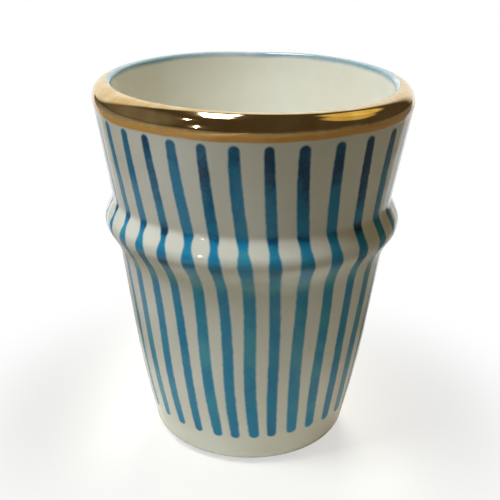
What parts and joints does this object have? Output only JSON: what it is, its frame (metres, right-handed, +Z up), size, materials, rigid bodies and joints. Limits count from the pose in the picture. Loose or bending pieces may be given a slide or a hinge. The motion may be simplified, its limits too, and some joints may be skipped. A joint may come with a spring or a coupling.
{
  "type": "coffee cup",
  "caption": "Flared handleless coffee cup of glazed earthenware with a raised bead, blue brush strokes and a gilded lip.",
  "frame": {"origin": "centre of the foot, on the surface that the cup stands on", "axes": "+Z up along the cup's axis, -Y towards the front of the picture"},
  "size_m": [0.0758, 0.0758, 0.0901],
  "materials": {
    "bare_clay": "matte",
    "white_glaze": "gloss",
    "pale_blue_paint": "gloss",
    "blue_paint": "gloss",
    "gold_lustre": "polished"
  },
  "bodies": {
    "root": {"clay_body": "bare_clay", "outer_glaze": "white_glaze", "inner_glaze": "white_glaze", "lip_line": "pale_blue_paint", "gold_rim": "gold_lustre", "stroke_01": "blue_paint", "stroke_02": "blue_paint", "stroke_03": "blue_paint", "stroke_04": "blue_paint", "stroke_05": "blue_paint", "stroke_06": "blue_paint", "stroke_07": "blue_paint", "stroke_08": "blue_paint", "stroke_09": "blue_paint", "stroke_10": "blue_paint", "stroke_11": "blue_paint", "stroke_12": "blue_paint", "stroke_13": "blue_paint", "stroke_14": "blue_paint", "stroke_15": "blue_paint", "stroke_16": "blue_paint", "stroke_17": "blue_paint", "stroke_18": "blue_paint", "stroke_19": "blue_paint", "stroke_20": "blue_paint", "stroke_21": "blue_paint", "stroke_22": "blue_paint", "stroke_23": "blue_paint", "stroke_24": "blue_paint", "stroke_25": "blue_paint", "stroke_26": "blue_paint", "stroke_27": "blue_paint", "stroke_28": "blue_paint", "stroke_29": "blue_paint", "stroke_30": "blue_paint", "stroke_31": "blue_paint", "stroke_32": "blue_paint", "stroke_33": "blue_paint"}
  },
  "joints": []
}
